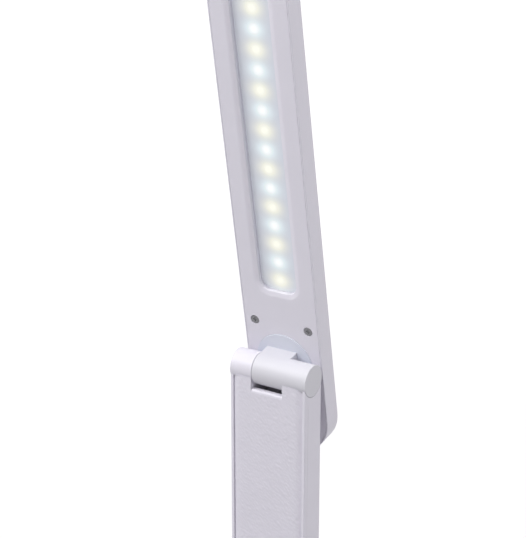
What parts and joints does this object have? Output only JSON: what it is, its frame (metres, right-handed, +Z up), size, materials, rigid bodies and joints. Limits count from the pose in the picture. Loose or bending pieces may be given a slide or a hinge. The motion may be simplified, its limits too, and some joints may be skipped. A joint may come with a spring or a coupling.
{
  "type": "folding led desk lamp",
  "caption": "Slim folding desk lamp: weighted base, upright arm with a textured front pad, barrel hinge, and a flat swivelling head with a recessed two-colour LED strip.",
  "frame": {"origin": "on the desk, at the centre of the base's footprint", "axes": "+Z up along the upright arm, +X to the viewer's right, the lit face and the pad face -Y"},
  "size_m": [0.14, 0.176, 0.6436],
  "materials": {
    "white_plastic": "satin",
    "white_gloss": "gloss",
    "textured_pad": "leather grain",
    "lit_diffuser": "frosted, lit from behind",
    "warm_light": "lit",
    "cool_light": "lit",
    "aluminium": "satin",
    "steel": "plated",
    "dark_steel": "nickel",
    "cast_weight": "raw",
    "brass_bush": "machined",
    "foot_rubber": "matte",
    "black_plastic": "matte",
    "wire_sheath": "matte",
    "circuit_board": "solder mask"
  },
  "bodies": {
    "base": {"base_top_cover": "white_plastic", "base_bottom_plate": "white_plastic", "base_weight": "cast_weight", "base_feet": "foot_rubber", "base_screws": "steel", "touch_panel": "white_gloss", "control_board": "circuit_board", "board_screws": "steel", "power_inlet": "black_plastic", "base_wire": "wire_sheath", "hinge_block": "white_plastic", "block_screws": "steel", "lower_hinge_caps": "white_gloss"},
    "arm": {"arm_rear_shell": "white_plastic", "arm_front_cover": "white_plastic", "arm_pad": "textured_pad", "arm_spine": "steel", "arm_spine_screws": "steel", "arm_screws": "steel", "arm_wire": "wire_sheath", "lower_hinge_shaft": "steel", "lower_hinge_washers": "steel", "lower_hinge_nut": "steel", "upper_hinge_bush": "brass_bush", "upper_hinge_cap": "white_gloss"},
    "head_carrier": {"head_knuckle": "white_gloss", "upper_hinge_shaft": "steel", "upper_hinge_washers": "steel", "upper_hinge_nut": "steel", "swivel_disc": "white_plastic", "swivel_retainer": "steel", "swivel_screws": "steel"},
    "head": {"head_front_frame": "white_plastic", "head_back_shell": "white_plastic", "diffuser": "lit_diffuser", "led_board": "aluminium", "leds_warm": "warm_light", "leds_cool": "cool_light", "head_screws": "dark_steel", "head_wire": "wire_sheath"}
  },
  "joints": [
    {"name": "arm_fold", "type": "hinge", "parent": "base", "child": "arm", "pos_m": [0, 0.056, 0.042], "axis": [1, 0, 0], "range_deg": [0, 86]},
    {"name": "head_tilt", "type": "hinge", "parent": "arm", "child": "head_carrier", "pos_m": [0, 0.056, 0.354], "axis": [1, 0, 0], "range_deg": [-10.4, 169.6]},
    {"name": "head_swivel", "type": "hinge", "parent": "head_carrier", "child": "head", "pos_m": [0, 0.056, 0.354], "axis": [0, 0.9836, 0.1805], "range_deg": [-90, 90]}
  ]
}
